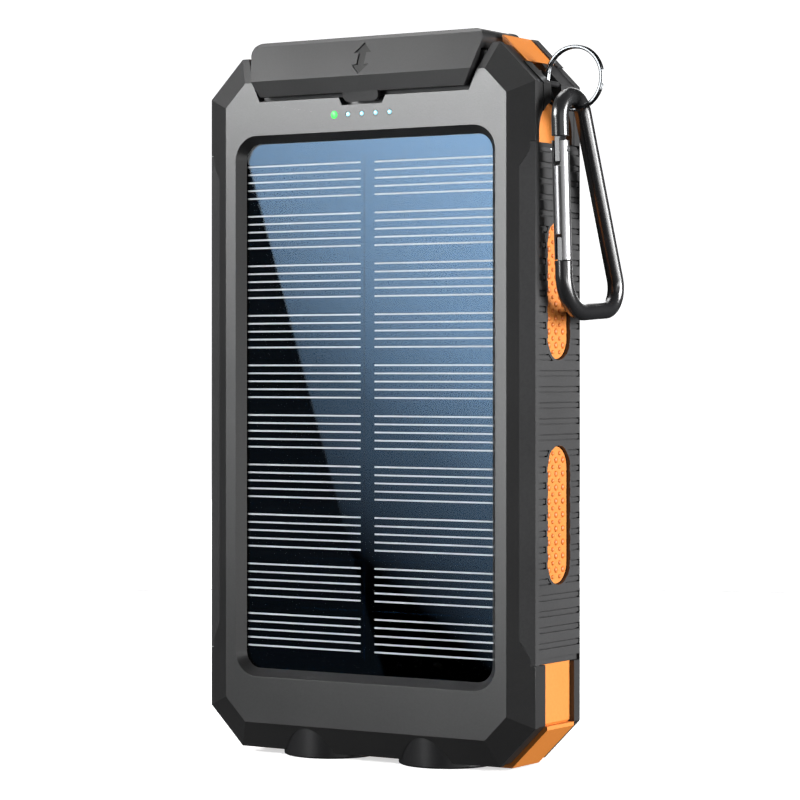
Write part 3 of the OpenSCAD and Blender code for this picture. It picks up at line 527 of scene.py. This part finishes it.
def sky_card():
    """A soft light that the solar panel mirrors: brightest in the panel's top right corner, with a
    straight left edge that leans across the glass, and fading towards the bottom."""
    width, height = GLASS_W, GLASS_H
    edge_top = Vector((-0.5 * width, 0.5 * height))
    edge_low = Vector((0.07 * width, -0.5 * height))
    right_low = Vector((0.9 * width, -0.5 * height))
    right_top = Vector((0.9 * width, 0.75 * height))
    lean = (edge_top - edge_low) * 0.25
    corners = [edge_low, edge_top + lean, right_top, right_low]
    low, left, top, right = (mirrored(c.x, GLASS_MID.z + c.y, SKY_REACH) for c in corners)
    material = bpy.data.materials.new("sky_card_look")
    material.use_nodes = True
    tree = material.node_tree
    tree.nodes.remove(tree.nodes["Principled BSDF"])
    light = add(tree, "ShaderNodeEmission", Color=(0.9, 0.96, 1.0, 1.0))
    bright = mirrored(0.5 * width, GLASS_MID.z + 0.42 * height, SKY_REACH)
    across = mirrored(0.5 * width - 0.57 * height, GLASS_MID.z - 0.4 * height, SKY_REACH) - bright
    offset = add(tree, "ShaderNodeVectorMath", operation="SUBTRACT")
    offset.inputs[1].default_value = bright
    tree.links.new(object_point(tree), offset.inputs[0])
    along = add(tree, "ShaderNodeVectorMath", operation="DOT_PRODUCT")
    along.inputs[1].default_value = across / across.length_squared
    tree.links.new(offset.outputs[0], along.inputs[0])
    tones = ((0.0, 1.0), (0.28, 0.6), (0.5, 0.19), (0.74, 0.0))
    fade = ramp(tree, along.outputs["Value"], [(position, (tone,) * 3) for position, tone in tones])
    power = add(tree, "ShaderNodeMath", operation="MULTIPLY")
    power.inputs[1].default_value = SKY_STRENGTH
    tree.links.new(fade, power.inputs[0])
    tree.links.new(power.outputs[0], light.inputs["Strength"])
    tree.links.new(light.outputs[0], tree.nodes["Material Output"].inputs["Surface"])
    card = stage_mesh("sky_card", [[low, left], [right, top]], material)
    card.visible_camera = False
    card.visible_shadow = False


def backdrop_material(name, tone, glow):
    material, tree, shader = new_material(name)
    shade = noise(tree, 2.0)
    colour = ramp(tree, shade, [(0, (tone,) * 3), (1, (min(1.0, tone + 0.03),) * 3)])
    tree.links.new(colour, shader.inputs["Base Color"])
    shader.inputs["Emission Color"].default_value = (1, 1, 1, 1)
    shader.inputs["Emission Strength"].default_value = glow
    shader.inputs["Roughness"].default_value = 0.9
    shader.inputs["Specular IOR Level"].default_value = 0.0
    return material


def backdrop():
    """A pale floor, and a lit sheet that lies round the object and sweeps up on all sides."""
    reach, start, radius, rise, top = 4.0, 0.45, 1.9, 0.5, 3.0
    steps, sides = 8, 64
    lift = 0.5 * MM
    square = [[(x, y, FLOOR_Z) for x in (-reach, reach)] for y in (-reach, reach)]
    floor = stage_mesh("floor", square, backdrop_material("floor_look", 0.9, FLOOR_GLOW))
    profile = [(start, lift), (radius, lift)]
    for i in range(1, steps + 1):
        a = math.pi / 2 * i / steps
        profile.append((radius + rise * math.sin(a), lift + rise * (1 - math.cos(a))))
    profile.append((radius + rise, top))
    angles = [2 * math.pi * k / sides for k in range(sides + 1)]
    rows = [[(r * math.sin(a), r * math.cos(a), FLOOR_Z + z) for a in angles] for r, z in profile]
    sheet = stage_mesh("backdrop", rows, backdrop_material("backdrop_look", 0.9, SHEET_GLOW))
    for stage in (floor, sheet):
        stage.visible_glossy = False
        stage.visible_transmission = False
        stage.visible_diffuse = False


def world_light():
    world = bpy.data.worlds.new("studio")
    world.use_nodes = True
    background = world.node_tree.nodes["Background"]
    background.inputs["Color"].default_value = (1, 1, 1, 1)
    background.inputs["Strength"].default_value = WORLD_STRENGTH
    bpy.context.scene.world = world


LIGHTS = [      # name, place, target, width, height, power in watts
    ("face_light", (-0.46, -0.62, 0.34), (-0.01, -0.02, 0.05), 0.5, 0.28, 7.8),
    ("face_low", (-0.235, -0.62, 0.03), (0.033, 0, 0), 0.12, 0.2, 0.6),
    ("key", (1.0, -0.8, 0.1), (0.03, 0, 0), 0.9, 0.9, 1.6),
    ("side", (1.05, 0.25, 0.15), (0.03, 0, 0), 0.6, 0.6, 23),
    ("floor_bounce", (0.3, -0.02, -0.038), (0.04, -0.01, -0.066), 0.3, 0.06, 0.35),
    ("over", (-0.5, 0.4, 1.0), (0, 0, -0.07), 0.7, 0.7, 6),
    ("behind", (-0.5, 1.0, 0.15), (0, 0, 0), 0.8, 0.8, 5),
]

camera()
backdrop()
world_light()
sky_card()
for light in LIGHTS:
    area_light(*light)
bpy.context.scene.view_settings.view_transform = "Standard"
